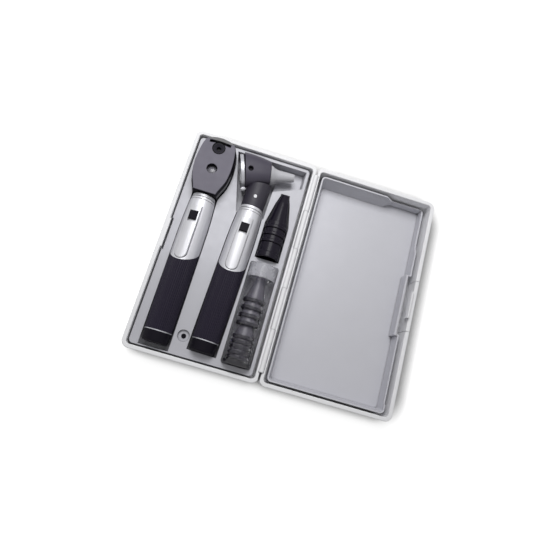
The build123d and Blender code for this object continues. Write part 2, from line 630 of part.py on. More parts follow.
def ophthalmoscope():
    """All pieces of the ophthalmoscope's head."""
    cover_low = FACE_Z - COVER_T
    plate_low = FACE_Z - PLATE_T
    pad_low = FACE_Z - BROW_PAD_T
    ring_top = FACE_Z - SIGHT_RING_DROP
    ring_low = ring_top - SIGHT_RING_T
    glass_top = FACE_Z - READ_DEPTH
    glass_low = glass_top - READ_GLASS_T
    cover = loft([
        Location((0, 0, cover_low)) * head_face(BODY_STEP),
        Location((0, 0, FACE_Z)) * head_face(0.0),
    ], ruled=True)
    upper = box(-BIG, BIG, BROW_HIGH_Y, BIG, pad_low, BIG)
    pad = cover & upper
    plate = (cover - upper) & box(-BIG, BIG, 0, BIG, plate_low, BIG)
    cover = (cover - upper) & box(-BIG, BIG, 0, BIG, 0, plate_low)
    bend = Location((0, BROW_SLOT_MID_Y - BROW_SLOT_BEND_R))
    brow = bend * (Circle(BROW_SLOT_BEND_R + BROW_SLOT_W / 2) - Circle(BROW_SLOT_BEND_R - BROW_SLOT_W / 2))
    brow = brow & (Location((0, HEAD_TOP_Y)) * Rectangle(2 * BROW_HALF, HEAD_TOP_Y - READ_Y))
    slot = slab(brow, FACE_Z - BROW_SLOT_DEPTH, BIG)
    ring_seat = rod_z(SIGHT_RING_R + SIGHT_RING_GAP, ring_top - 1, BIG, 0, SIGHT_Y)
    ring_seat += rod_z(SIGHT_RING_R, ring_low, BIG, 0, SIGHT_Y)
    openings = slot + ring_seat + rod_z(SIGHT_R, cover_low - 1, BIG, 0, SIGHT_Y)
    openings += rod_z(READ_R, glass_low, BIG, 0, READ_Y)
    save("oph_front_cover", OPH_PLACE * (cover - openings))
    save("oph_face_plate", OPH_PLACE * (plate - openings))
    pad = fillet(pad.faces().sort_by(Axis.Z)[-1].edges().sort_by(Axis.Y)[-1], BROW_EDGE_R)
    save("oph_brow_rest", OPH_PLACE * (pad - openings))
    ring = rod_z(SIGHT_RING_R, ring_low, ring_top, 0, SIGHT_Y)
    dish = Cone(SIGHT_R + PIN_FIT, SIGHT_RING_R - SIGHT_DISH_EDGE, SIGHT_DISH)
    ring -= Location((0, SIGHT_Y, ring_top - SIGHT_DISH / 2)) * dish
    ring -= rod_z(SIGHT_R + PIN_FIT, 0, BIG, 0, SIGHT_Y)
    save("oph_aperture_ring", OPH_PLACE * ring)
    sight_low = cover_low + SIGHT_GLASS_IN
    glass = rod_z(SIGHT_R, sight_low, sight_low + SIGHT_GLASS_T, 0, SIGHT_Y)
    save("oph_sight_glass", OPH_PLACE * glass)
    dome_r = (READ_GLASS_R ** 2 + READ_DOME ** 2) / (2 * READ_DOME)
    lens = rod_z(READ_GLASS_R, glass_low, glass_top - READ_DOME, 0, READ_Y)
    dome = Location((0, READ_Y, glass_top - dome_r)) * Sphere(dome_r)
    lens += dome & rod_z(READ_GLASS_R, glass_top - READ_DOME, BIG, 0, READ_Y)
    lens += rod_z(READ_R, glass_low, glass_low + READ_FLANGE_T, 0, READ_Y)
    save("oph_dial_lens", OPH_PLACE * lens)

    wheel_low = cover_low - WHEEL_GAP - WHEEL_T
    lamp_low = COLLAR_TOP + LAMP_FOOT
    lamp_room = lamp_low + LAMP_LEN
    body = slab(head_face(BODY_STEP), HOUSING_LOW, cover_low)
    body = chamfer(body.faces().sort_by(Axis.Z)[0].edges(), HOUSING_EDGE)
    neck = rod_y(NECK_R, COLLAR_TOP, COLLAR_TOP + HOUSING_NECK_RUN)
    body += neck & box(-BIG, BIG, 0, BIG, HOUSING_LOW, cover_low)
    hollow = slab(head_face(BODY_STEP - HOUSING_WALL), HOUSING_LOW + HOUSING_WALL, wheel_low - HOUSING_WALL)
    hollow &= box(-BIG, BIG, lamp_room, HEAD_TOP_Y - HOUSING_WALL, -BIG, BIG)
    body -= hollow
    body -= rod_z(WHEEL_R + WHEEL_GAP, wheel_low - WHEEL_GAP, BIG, 0, HEAD_WIDEST_Y)
    boss_low = HOUSING_LOW + HOUSING_WALL / 2
    body += rod_z(WHEEL_PIN_R + WHEEL_BOSS, boss_low, wheel_low - WHEEL_GAP, 0, HEAD_WIDEST_Y)
    body -= rod_z(WHEEL_PIN_R + PIN_FIT, -BIG, BIG, 0, HEAD_WIDEST_Y)
    body -= rod_z(SIGHT_R, -BIG, BIG, 0, SIGHT_Y)
    body -= rod_y(LAMP_R + LAMP_FIT, 0, lamp_room + LAMP_ROOM)
    save("oph_rear_housing", OPH_PLACE * body)
    wheel = rod_z(WHEEL_R, wheel_low, wheel_low + WHEEL_T, 0, HEAD_WIDEST_Y)
    for i in range(WHEEL_NOTCH_COUNT):
        wheel -= slab(round_spot(WHEEL_R, 360 / WHEEL_NOTCH_COUNT * i, WHEEL_NOTCH_R), 0, BIG)
    lenses = []
    for i in range(WHEEL_LENS_COUNT):
        spot = round_spot(SIGHT_Y - HEAD_WIDEST_Y, 90 + 360 / WHEEL_LENS_COUNT * i, WHEEL_LENS_R)
        wheel -= slab(spot, 0, BIG)
        lenses.append(slab(spot, wheel_low + WHEEL_LENS_IN, wheel_low + WHEEL_T - WHEEL_LENS_IN))
    wheel -= rod_z(WHEEL_PIN_R + PIN_FIT, -BIG, BIG, 0, HEAD_WIDEST_Y)
    save("oph_lens_wheel", OPH_PLACE * wheel)
    save("oph_wheel_lenses", OPH_PLACE * Compound(lenses))
    dial_low = HOUSING_LOW - DIAL_GAP - DIAL_T
    pin = rod_z(WHEEL_PIN_R, dial_low, cover_low, 0, HEAD_WIDEST_Y)
    save("oph_wheel_pin", OPH_PLACE * pin)
    dial = rod_z(DIAL_R, dial_low, dial_low + DIAL_T, 0, HEAD_WIDEST_Y)
    for i in range(DIAL_NOTCH_COUNT):
        dial -= slab(round_spot(DIAL_R, 360 / DIAL_NOTCH_COUNT * i, DIAL_NOTCH_R), -BIG, 2 * BIG)
    dial -= rod_z(WHEEL_PIN_R + PIN_FIT, -BIG, BIG, 0, HEAD_WIDEST_Y)
    save("oph_aperture_dial", OPH_PLACE * dial)
    wedge = make_face(Polyline((0, 0), (MIRROR_SIZE, 0), (MIRROR_SIZE, MIRROR_SIZE), close=True))
    mirror_block = extrude(Plane.YZ.offset(SIGHT_R + HOUSING_WALL / 4) * wedge, MIRROR_WIDTH)
    mirror_foot = Location((0, SIGHT_Y - MIRROR_BACK, HOUSING_LOW + HOUSING_WALL))
    save("oph_mirror", OPH_PLACE * mirror_foot * mirror_block)
    save("oph_lamp", OPH_PLACE * bulb(lamp_low, lamp_room))


# ================================================================ otoscope head
OPTIC = Location((OPTIC_X, OPTIC_Y, OPTIC_Z), (0, 0, OPTIC_SLOPE))
# In the optic frame +X runs out of the nose, Y lies along the handle, Z is up.


def section(x, a, b, lean=0.0, rise=0.0):
    """A squarish oval across the optical axis, half axes a along the handle and b in depth."""
    plane = Plane(origin=(x, rise, 0), x_dir=(-sin(radians(lean)), cos(radians(lean)), 0),
                  z_dir=(cos(radians(lean)), sin(radians(lean)), 0))
    ring = []
    for i in range(SECTION_POINTS):
        angle = 2 * pi * (i + 0.5) / SECTION_POINTS
        c, d = cos(angle), sin(angle)
        power = 2 / HEAD_SQUARE
        ring.append((a * abs(c) ** power * (1 if c > 0 else -1), b * abs(d) ** power * (1 if d > 0 else -1)))
    return plane * make_face(Spline(*ring, periodic=True))


def head_loft(wall, back, front):
    """Form of the otoscope's head, drawn in by wall, between two places on the optical axis."""
    return loft([
        section(back, HEAD_REAR_A - wall, HEAD_REAR_B - wall, REAR_LEAN, HEAD_RISE),
        section(back / 2, HEAD_MID_A - wall, HEAD_MID_B - wall, REAR_LEAN / 2, HEAD_RISE / 2),
        section(front, HEAD_FRONT_R - wall, HEAD_FRONT_R - wall),
    ])


def rod_x(radius, x0, x1):
    """A cylinder along the optical axis."""
    return Location(((x0 + x1) / 2, 0, 0), (0, 90, 0)) * Cylinder(radius, abs(x1 - x0))


def turned_x(points):
    """A body of revolution about the optical axis from (x, radius) points."""
    face = make_face(Polyline(*points, close=True))
    return revolve(face, Axis.X)


def otoscope():
    """All pieces of the otoscope's head."""
    put = OTO_PLACE * OPTIC
    back = -REAR_BACK
    whole = head_loft(0, back, 0)
    hollow = head_loft(OTO_WALL, back - 0.01, -OTO_WALL)
    lug_length = WINDOW_T / 2 + WINDOW_GAP + WINDOW_LUG
    pivot_at = Location((0, WINDOW_PIVOT_Y, 0))
    window_in_optic = OPTIC.inverse() * WINDOW_FRAME * pivot_at
    lug = window_in_optic * rod_x(WINDOW_PIVOT_R + WINDOW_LUG_WALL, WINDOW_T / 2 + WINDOW_GAP, lug_length)
    pivot_bore = window_in_optic * rod_x(WINDOW_PIVOT_R + PIN_FIT, 0, lug_length - WINDOW_PIVOT_END / 2)
    housing = whole + lug - hollow - pivot_bore
    housing -= rod_x(NOSE_PLUG_R + NOSE_FIT, -OTO_WALL - 1, 1)
    housing -= rod_z(PORT_R, 0, BIG, -PORT_BACK, PORT_OFF)
    neck_r = COLLAR_R - NECK_STEP
    neck = turned([
        (0, COLLAR_TOP), (neck_r, COLLAR_TOP), (neck_r + NECK_FLARE, NECK_TOP + 6), (0, NECK_TOP + 6),
    ])
    outside = OPTIC * box(-BIG, BIG, -BIG, NECK_END, -BIG, BIG)
    neck = neck & outside
    neck += rod_y(NECK_CORE_R, COLLAR_TOP + 1, NECK_CORE_END)
    neck -= rod_y(LAMP_R + LAMP_FIT, 0, BIG)
    neck -= OPTIC * (whole + lug + rod_x(SPECULUM_BASE_R + SPECULUM_ROOM, -SPECULUM_ROOM, SPECULUM_LEN))
    neck = neck.solids().sort_by(SortBy.VOLUME)[-1]
    screw_top = neck_r + NECK_SCREW_PROUD
    screw_low = screw_top - NECK_SCREW_LEN
    neck -= rod_z(NECK_SCREW_R, screw_low, BIG, 0, NECK_SCREW_Y)
    save("oto_neck", OTO_PLACE * neck)
    screw = rod_z(NECK_SCREW_R, screw_low, screw_top, 0, NECK_SCREW_Y)
    slot_half = NECK_SCREW_SLOT / 2
    screw -= box(-BIG, BIG, NECK_SCREW_Y - slot_half, NECK_SCREW_Y + slot_half, screw_top - slot_half, BIG)
    save("oto_neck_screw", OTO_PLACE * screw)
    housing -= OPTIC.inverse() * rod_y(LAMP_R + LAMP_FIT, COLLAR_TOP, OTO_LAMP_ROOM)
    save("oto_head_housing", put * housing)
    save("oto_lamp", OTO_PLACE * bulb(OTO_LAMP_LOW, OTO_LAMP_HIGH))
    frame = Plane.YZ.offset(-WINDOW_T / 2) * (Ellipse(WINDOW_A, WINDOW_B))
    frame = extrude(frame, WINDOW_T)
    frame += rod_x(WINDOW_TAB_R, -WINDOW_T / 2, WINDOW_T / 2).moved(Location((0, WINDOW_PIVOT_Y, 0)))
    glass_cut = Ellipse(WINDOW_A - WINDOW_RIM, WINDOW_B - WINDOW_RIM)
    frame -= extrude(Plane.YZ.offset(-WINDOW_T) * glass_cut, 2 * WINDOW_T)
    frame -= pivot_at * rod_x(WINDOW_PIVOT_R + PIN_FIT, -WINDOW_T, WINDOW_T)
    save("oto_window_frame", OTO_PLACE * WINDOW_FRAME * frame)
    lens = extrude(Plane.YZ.offset(-WINDOW_LENS_T / 2) * glass_cut, WINDOW_LENS_T)
    save("oto_window_lens", OTO_PLACE * WINDOW_FRAME * lens)
    pivot = pivot_at * rod_x(WINDOW_PIVOT_R, -WINDOW_T / 2 - WINDOW_PIVOT_END, lug_length - WINDOW_PIVOT_END)
    save("oto_window_pivot", OTO_PLACE * WINDOW_FRAME * pivot)

    port_top = HEAD_REAR_B - PORT_SINK
    port = rod_z(PORT_R, port_top - PORT_LEN, port_top, -PORT_BACK, PORT_OFF)
    port -= rod_z(PORT_BORE_R, port_top - PORT_DEPTH, BIG, -PORT_BACK, PORT_OFF)
    save("oto_port", put * port)
    nose = turned_x([
        (-OTO_WALL, 0), (-OTO_WALL, NOSE_PLUG_R), (0, NOSE_PLUG_R), (0, NOSE_R), (NOSE_MID, NOSE_MID_R),
        (NOSE_LEN, NOSE_TIP_R), (NOSE_LEN, 0),
    ])
    nose -= rod_x(NOSE_BORE_R, -BIG, BIG)
    save("oto_nose_cone", put * nose)
    speculum = turned_x(speculum_profile())
    save("oto_speculum", put * speculum)


def speculum_profile():
    """Section of the fitted speculum: a short flare, then a slim cone."""
    flare = ((0.0, 1.0), (1.6, 0.9), (3.2, 0.76), (5.0, 0.65), (7.5, 0.585), (SPECULUM_LEN, SPECULUM_TIP_R /
             SPECULUM_BASE_R))
    outer = [(SPECULUM_GAP + x, SPECULUM_BASE_R * share) for x, share in flare]
    inner = [(x, r - SPECULUM_WALL) for x, r in reversed(outer)]
    return outer + inner


# Window frame of reference: +X is the window's normal, Y runs up its plane.
WINDOW_BACK = REAR_BACK + WINDOW_GAP + WINDOW_T / 2
WINDOW_FRAME = OPTIC * Location((-WINDOW_BACK, 0, 0), (0, 0, WINDOW_LEAN))


# ================================================================ reusable specula
def tip(end_r, flange=TIP_FLANGE, rise=0.0):
    """One reusable speculum, base at y = 0; rise is how much taller its skirt is."""
    skirt = TIP_SKIRT + rise
    waist_y = TIP_WAIST_Y + rise
    high = TIP_LEN + rise
    waist_r = TIP_WAIST_R + TIP_WAIST_TAPER * (end_r - TIP_END_R[-1])
    lip = TIP_LIP_SHARE * end_r
    outer = [
        (TIP_BASE_R - 0.3, 0), (TIP_BASE_R, 0.4), (TIP_BASE_R, flange - 0.4),
        (TIP_BASE_R - 0.3, flange), (TIP_WAISTED_R, flange + 0.2), (TIP_WAISTED_R, skirt),
        (TIP_SHOULDER_R, skirt + 0.4), (waist_r, waist_y), (end_r + 0.25, high - TIP_NECK),
    ]
    for turn in (15, 35, 55, 75, 90):
        lip_r = end_r + lip * (cos(radians(turn)) - 1)
        outer.append((lip_r, high + lip * (sin(radians(turn)) - 1)))
    inner = [
        (end_r - lip, high - TIP_WALL), (end_r - TIP_WALL, high - TIP_NECK),
        (waist_r - TIP_WALL, waist_y), (TIP_SHOULDER_R - TIP_WALL, skirt + 0.3),
        (TIP_WAISTED_R - TIP_WALL, skirt - TIP_WALL), (TIP_WAISTED_R - TIP_WALL, 0),
    ]
    return turned(outer + inner)


def tip_low(i):
    """How far the base of reusable speculum i stands above the first one's."""
    return TIP_FIRST_PITCH + (i - 1) * TIP_PITCH if i else 0


def reusable_specula():
    """Nested stack of reusable specula."""
    rise = TIP_FIRST_PITCH - TIP_PITCH
    tips = [tip(TIP_END_R[0], TIP_FIRST_FLANGE, rise)] + [tip(end_r) for end_r in TIP_END_R[1:]]
    for i, piece in enumerate(tips):
        place = Location((STACK_X, STACK_LOW_Y + tip_low(i), AXIS_Z))
        save(f"reusable_speculum_{i + 1}", place * piece)


# ================================================================ dispenser
def disposable(tip_r):
    """One disposable speculum, base at y = 0."""
    wall = DISPOSABLE_WALL
    outer = [
        (DISPOSABLE_BASE_R, 0), (DISPOSABLE_BASE_R, DISPOSABLE_SKIRT),
        (DISPOSABLE_SHOULDER_R, DISPOSABLE_SKIRT + 0.3), (tip_r, DISPOSABLE_LEN),
    ]
    inner = [
        (tip_r - wall, DISPOSABLE_LEN), (DISPOSABLE_SHOULDER_R - wall, DISPOSABLE_SKIRT),
        (DISPOSABLE_BASE_R - wall, DISPOSABLE_SKIRT - wall), (DISPOSABLE_BASE_R - wall, 0),
    ]
    return turned(outer + inner)


def dispenser():
    """Clear tube of disposable specula with its cap and foot."""
    place = Location((STACK_X, DISPENSER_LOW_Y, AXIS_Z))
    tube_low = DISPENSER_FOOT_LEN - 1.2
    tube_high = DISPENSER_LEN - DISPENSER_CAP_LEN + CAP_OVERLAP
    bore_r = DISPENSER_R - DISPENSER_WALL
    tube = rod_y(DISPENSER_R, tube_low, tube_high) - rod_y(bore_r, 0, BIG)
    save("dispenser_tube", place * tube)
    foot = rod_y(DISPENSER_CAP_R, 0, tube_low) + rod_y(bore_r - 0.03, 0.5, tube_low + 1.2)
    foot = fillet(foot.edges().sort_by(Axis.Y)[0], 1.0)
    save("dispenser_foot", place * foot)
    cap_low = DISPENSER_LEN - DISPENSER_CAP_LEN
    cap = rod_y(DISPENSER_CAP_R, cap_low, DISPENSER_LEN)
    cap = fillet(cap.edges().sort_by(Axis.Y)[-1], 1.0)
    cap -= rod_y(DISPENSER_R + PIN_FIT, cap_low - 1, tube_high + 0.3)
    cap -= rod_y(bore_r, cap_low - 1, DISPENSER_LEN - 1.2)
    save("dispenser_cap", place * cap)
    floor_y = tube_low + 1.3
    groups = (
        ("disposable_specula_small", SMALL_COUNT, SMALL_PITCH, SMALL_TIP_R, floor_y),
        ("disposable_specula_large", LARGE_COUNT, LARGE_PITCH, LARGE_TIP_R, floor_y + LARGE_START),
    )
    for name, count, pitch, tip_r, low in groups:
        piece = disposable(tip_r)
        nested = [Location((0, low + i * pitch, 0)) * piece for i in range(count)]
        save(name, place * Compound(nested))


# ================================================================ tray
TRAY_FRONT = -(INNER_FRONT - TRAY_GAP_FRONT)
TRAY_HINGE = -(INNER_HINGE + TRAY_GAP_HINGE)
TRAY_TOP_Y = INNER_END - TRAY_GAP_TOP
TRAY_LOW_Y = -(INNER_END - TRAY_GAP_BOTTOM)


def tray_plan(inset):
    """Plan of the tray, drawn in all round by inset."""
    plan = rounded_rect(TRAY_FRONT + inset, TRAY_HINGE - inset, TRAY_LOW_Y + inset,
                        TRAY_TOP_Y - inset, TRAY_CORNER_R - inset)
    half = HOOK_WIDTH / 2 + CATCH_EXTRA + 1.0 + inset
    step = TRAY_FRONT + LATCH_INSET + inset
    return plan - Location((step - 5, 0)) * Rectangle(10, 2 * half)


def handle_recess(grow, end_room):
    """Trough for a handle: round below the axis, straight above it."""
    gap = POCKET_SIDE_GAP + grow
    stops = (TAPER_START_Y, SHOULDER_Y, (SHOULDER_Y + SLEEVE_END) / 2, SLEEVE_END)
    edge = [(handle_profile_radius(y) + gap, y) for y in stops]
    edge.insert(0, (edge[0][0], -end_room - grow))
    edge.append((COLLAR_R + gap + 0.4, COLLAR_TOP + 4))
    low = turned([(0, edge[0][1])] + edge + [(0, edge[-1][1])])
    left = [(-x, y) for x, y in reversed(edge)]
    plan = make_face(Polyline(*edge, *left, close=True))
    plan = fillet(plan.vertices().sort_by(Axis.Y)[:2], RECESS_END_R + grow)
    drop = POCKET_SIDE_GAP - SEAT_GAP
    return Location((0, 0, drop)) * (low + slab(plan, 0, HALF_DEPTH))


def oph_recess(grow):
    """Recess for the ophthalmoscope."""
    floor = HOUSING_LOW - DIAL_T - DIAL_GAP - SEAT_GAP - grow
    room = slab(head_face(BODY_STEP + POCKET_SIDE_GAP + grow), floor, HALF_DEPTH)
    return OPH_PLACE * (room + handle_recess(grow, HANDLE_RECESS_END))


def oto_recess(grow):
    """Recess for the otoscope, with the shallow part round its speculum."""
    gap = POCKET_SIDE_GAP + grow
    side = HANDLE_R + gap
    window_top = (WINDOW_FRAME * Location((-WINDOW_T / 2 - gap, WINDOW_A + 6.0, 0))).position
    start = SLEEVE_END - grow
    deep = make_face(Polyline(
        (-side, start), (side, start), (side, OPTIC_Y + 30), (window_top.X - 3, OPTIC_Y + 30),
        (window_top.X, window_top.Y), close=True))
    floor = OPTIC_Z - WINDOW_B - SEAT_GAP - grow
    recess = OTO_PLACE * (slab(deep, floor, HALF_DEPTH) + handle_recess(grow, POCKET_SIDE_GAP))
    right = TRAY_HINGE - RECESS_HINGE_STRIP + grow
    top = TRAY_TOP_Y - RECESS_TOP_STRIP + grow
    left = OTO_X + HANDLE_R
    rise = tan(radians(RECESS_SLOPE))
    corner_y = RECESS_CORNER_Y - grow
    low_left = corner_y - (right - left) * rise
    floor_z = AXIS_Z + OPTIC_Z - SPECULUM_BASE_R - SEAT_GAP - grow
    foot_right = right - RECESS_LEAN
    foot_y = corner_y - (right - foot_right) * rise
    upper = make_face(Polyline((left, low_left), (right, corner_y), (right, top), (left, top), close=True))
    lower = make_face(Polyline((left, low_left), (foot_right, foot_y), (foot_right, top), (left, top),
                               close=True))
    shallow = loft([Location((0, 0, floor_z)) * lower, Location((0, 0, TRAY_Z)) * upper], ruled=True)
    shallow += slab(upper, TRAY_Z, RIM_Z + 5)
    return (recess + shallow) & box(-BIG, BIG, -BIG, top, -1, BIG)


def stack_recess(grow):
    """Recess for the reusable specula."""
    gap = POCKET_SIDE_GAP + grow
    high = tip_low(len(TIP_END_R) - 1)
    edge = [
        (TIP_BASE_R + gap, -POCKET_SIDE_GAP - grow), (TIP_BASE_R + gap, high + TIP_SKIRT),
        (TIP_WAIST_R + gap + 0.2, high + TIP_WAIST_Y), (TIP_END_R[-1] + gap + 0.2, high + TIP_LEN - 1.6),
        (TIP_END_R[-1] + gap, high + TIP_LEN + gap),
    ]
    low = turned([(0, edge[0][1])] + edge + [(0, edge[-1][1])])
    left = [(-x, y) for x, y in reversed(edge)]
    plan = make_face(Polyline(*edge, *left, close=True))
    plan = fillet(plan.vertices().sort_by(Axis.Y)[-2:], TIP_RECESS_R)
    drop = POCKET_SIDE_GAP - SEAT_GAP
    return Location((STACK_X, STACK_LOW_Y, AXIS_Z + drop)) * (low + slab(plan, 0, HALF_DEPTH))


def dispenser_recess(grow):
    """Recess for the dispenser."""
    right = TRAY_HINGE - RECESS_HINGE_STRIP + grow
    left = 2 * STACK_X - right
    high = DISPENSER_HIGH_Y + POCKET_END_GAP + grow
    low = DISPENSER_LOW_Y - POCKET_END_GAP / 2 - grow
    floor = AXIS_Z - DISPENSER_CAP_R - SEAT_GAP - grow
    return slab(rounded_rect(left, right, low, high, 2.0 + grow), floor, RIM_Z + 5)


def tray():
    """Formed tray with its recesses."""
    body = slab(tray_plan(0), FLOOR, TRAY_Z)
    body = fillet(body.faces().sort_by(Axis.Z)[-1].edges(), TRAY_EDGE_R)
    body -= slab(tray_plan(SHEET), FLOOR - 1, TRAY_Z - SHEET)
    limit = slab(tray_plan(SHEET / 2), FLOOR, TRAY_Z - TRAY_EDGE_R)
    dimple_z = TRAY_Z - DIMPLE_DEPTH
    for make in (oph_recess, oto_recess, stack_recess, dispenser_recess):
        body += make(SHEET) & limit
    body += rod_z(DIMPLE_R + SHEET, dimple_z - SHEET, TRAY_Z - TRAY_EDGE_R, SCREW_X, SCREW_Y)
    for make in (oph_recess, oto_recess, stack_recess, dispenser_recess):
        body -= make(0)
    body -= rod_z(DIMPLE_R, dimple_z, BIG, SCREW_X, SCREW_Y)
    return body - rod_z(SCREW_SHANK_R + 2 * PIN_FIT, 0, BIG, SCREW_X, SCREW_Y)


def tray_screw():
    """Screw that holds the tray to the boss in the base."""
    seat = TRAY_Z - DIMPLE_DEPTH
    screw = rod_z(SCREW_HEAD_R, seat, seat + SCREW_HEAD_T, SCREW_X, SCREW_Y)
    screw = fillet(screw.edges().sort_by(Axis.Z)[-1], SCREW_HEAD_T / 3)
    screw += rod_z(SCREW_SHANK_R, seat - SCREW_LEN, seat, SCREW_X, SCREW_Y)
    drive = Location((SCREW_X, SCREW_Y)) * RegularPolygon(SCREW_DRIVE_R, 6)
    return screw - slab(drive, seat + SCREW_HEAD_T / 3, seat + 2 * SCREW_HEAD_T)


# ================================================================ liner
LINER_HINGE = INNER_HINGE + LINER_GAP_HINGE
LINER_FRONT = INNER_FRONT - LINER_GAP_FRONT
LINER_TOP_Y = INNER_END - LINER_GAP_TOP
LINER_LOW_Y = -(INNER_END - LINER_GAP_BOTTOM)


def liner():
    """Liner of the lid: a flat panel inside a stepped frame."""
    panel_z = RIM_Z - PANEL_DROP
    flange_z = RIM_Z - FLANGE_DROP
    front_z = RIM_Z - FRONT_FLANGE_DROP
    corner_z = RIM_Z - CORNER_FLANGE_DROP
    plan = rounded_rect(LINER_HINGE, LINER_FRONT, LINER_LOW_Y, LINER_TOP_Y, TRAY_CORNER_R)
    bay_mid = (LATCH_BAY_LOW_Y + LATCH_BAY_HIGH_Y) / 2
    bay_len = LATCH_BAY_HIGH_Y - LATCH_BAY_LOW_Y
    plan -= Location((LINER_FRONT - LATCH_BAY + 5, bay_mid)) * Rectangle(10, bay_len)
    body = slab(plan, FLOOR, flange_z)
    top_x0 = LINER_HINGE + FLANGE_W
    top_x1 = LINER_FRONT - FRONT_FLANGE_W
    top_y0 = LINER_LOW_Y + FLANGE_W
    top_y1 = LINER_TOP_Y - FLANGE_W
    cavity = loft([
        Location((0, 0, panel_z)) * rounded_rect(
            top_x0 + WALL_LEAN_HINGE, top_x1 - WALL_LEAN_FRONT, top_y0 + WALL_LEAN_BOTTOM,
            top_y1 - WALL_LEAN_TOP, 1.2),
        Location((0, 0, flange_z)) * rounded_rect(top_x0, top_x1, top_y0, top_y1, 2.4),
    ], ruled=True)
    bay_wall = box(top_x1 - LATCH_BAY - WALL_LEAN_FRONT, BIG, LATCH_BAY_LOW_Y - 0.9,
                   LATCH_BAY_HIGH_Y + 0.9, panel_z - 1, BIG)
    body -= cavity - bay_wall
    pocket_top = LINER_TOP_Y - CORNER_EDGE_W
    start = CORNER_POCKET_X
    corner = make_face(Polyline(
        (start, top_y1 - WALL_LEAN_TOP - 1), (start, top_y1 - WALL_LEAN_TOP),
        (start + CORNER_POCKET_RUN, pocket_top), (top_x1 - WALL_LEAN_FRONT, pocket_top),
        (top_x1 - WALL_LEAN_FRONT, top_y1 - WALL_LEAN_TOP - 1), close=True))
    body -= slab(corner, panel_z, BIG)
    slope = make_face(Polyline(
        (start, flange_z + 1), (start, flange_z), (start + CORNER_POCKET_RUN, corner_z), (BIG, corner_z),
        (BIG, flange_z + 1), close=True))
    body -= extrude(Plane.XZ.offset(-BIG) * slope, BIG - (top_y1 - WALL_LEAN_TOP - 1))
    body -= box(top_x1 - WALL_LEAN_FRONT - LATCH_BAY - 2, BIG, top_y0 + 6, BIG, front_z, BIG)
    front = make_face(Polyline(
        (LOW_FLANGE_Y - 3, front_z + 1), (LOW_FLANGE_Y - 3, front_z), (LOW_FLANGE_Y + 3, corner_z),
        (BIG, corner_z), (BIG, front_z + 1), close=True))
    body -= extrude(Plane.YZ.offset(top_x1 - WALL_LEAN_FRONT - 1) * front, BIG)
    return body


# ================================================================ everything
save("base_shell", base_shell())
save("lid_shell", lid_shell())
save("base_tray", tray())
save("tray_screw", tray_screw())
save("lid_liner", liner())
save("front_latch", latch())
save("latch_pin", latch_pin())
save("hinge_pin", rod_y(PIN_R, HINGE_LOW_Y, HINGE_HIGH_Y, 0, RIM_Z))
handle("oph", OPH_PLACE, OPH_CLIP_ROLL)
ophthalmoscope()
handle("oto", OTO_PLACE, 0)
otoscope()
reusable_specula()
dispenser()
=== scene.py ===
import json

import bpy
from mathutils import Matrix, Vector


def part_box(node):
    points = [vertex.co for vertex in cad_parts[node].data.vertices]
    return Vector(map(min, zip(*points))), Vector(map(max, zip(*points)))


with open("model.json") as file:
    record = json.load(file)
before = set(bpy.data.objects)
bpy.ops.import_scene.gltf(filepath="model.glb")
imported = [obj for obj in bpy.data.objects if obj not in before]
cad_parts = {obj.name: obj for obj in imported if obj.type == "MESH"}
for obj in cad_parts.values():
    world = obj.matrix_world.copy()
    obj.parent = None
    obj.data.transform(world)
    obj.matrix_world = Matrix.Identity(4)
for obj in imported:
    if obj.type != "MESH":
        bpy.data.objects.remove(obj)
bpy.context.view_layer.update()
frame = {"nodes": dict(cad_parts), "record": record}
nodes = frame["nodes"]

# ---------------------------------------------------------------- node trees


class Nodes:
    """Short ways to build a node tree."""

    def __init__(self, tree):
        self.tree = tree

    def node(self, kind, **props):
        made = self.tree.nodes.new("ShaderNode" + kind)
        for key, value in props.items():
            setattr(made, key, value)
        return made

    def feed(self, socket, value):
        """Link value to the socket if it is an output, and otherwise set it there."""
        if isinstance(value, bpy.types.NodeSocket):
            self.tree.links.new(value, socket)
        else:
            socket.default_value = value

    def maths(self, operation, first, second, clamp=False):
        made = self.node("Math", operation=operation, use_clamp=clamp)
        self.feed(made.inputs[0], first)
        self.feed(made.inputs[1], second)
        return made.outputs[0]

    def remap(self, value, low, high, from_low=0.3, from_high=0.7):
        """Scale value to run from low to high. The usual range is that of a noise."""
        made = self.node("MapRange")
        limits = {"From Min": from_low, "From Max": from_high, "To Min": low, "To Max": high}
        for key, number in limits.items():
            self.feed(made.inputs[key], number)
        self.feed(made.inputs["Value"], value)
        return made.outputs["Result"]

    def openness(self, reach, samples=8):
        """Occlusion node: its AO is 1 in the open and less where something is within reach."""
        made = self.node("AmbientOcclusion", samples=samples)
        self.feed(made.inputs["Distance"], reach)
        return made

    def background_rays(self):
        """1 for what the camera, gloss and glass see, and 0 for the light on the object."""
        path = self.node("LightPath").outputs
        seen = self.maths("MAXIMUM", path["Is Camera Ray"], path["Is Glossy Ray"])
        return self.maths("MAXIMUM", seen, path["Is Transmission Ray"])


# ---------------------------------------------------------------- material helpers

# noise scales, in waves per metre
GRAIN = 2600.0          # fine grain of a moulded or brushed surface
POLISH = 1400.0         # streaks of gloss in metal
BRUSHING = 900.0        # streaks of colour in metal
GLASS_SMEARS = 220.0    # patches of gloss on clear plastic
SMEARS = 180.0          # patches of gloss on plastic
GLASS_MOTTLE = 90.0     # patches of colour in clear plastic
MOTTLE = 60.0           # patches of colour on plastic
LENGTHWISE = (1.0, 0.06, 1.0)   # stretches a noise along Y, as the handles lie
FINE = 3.0              # detail of the noises that show most

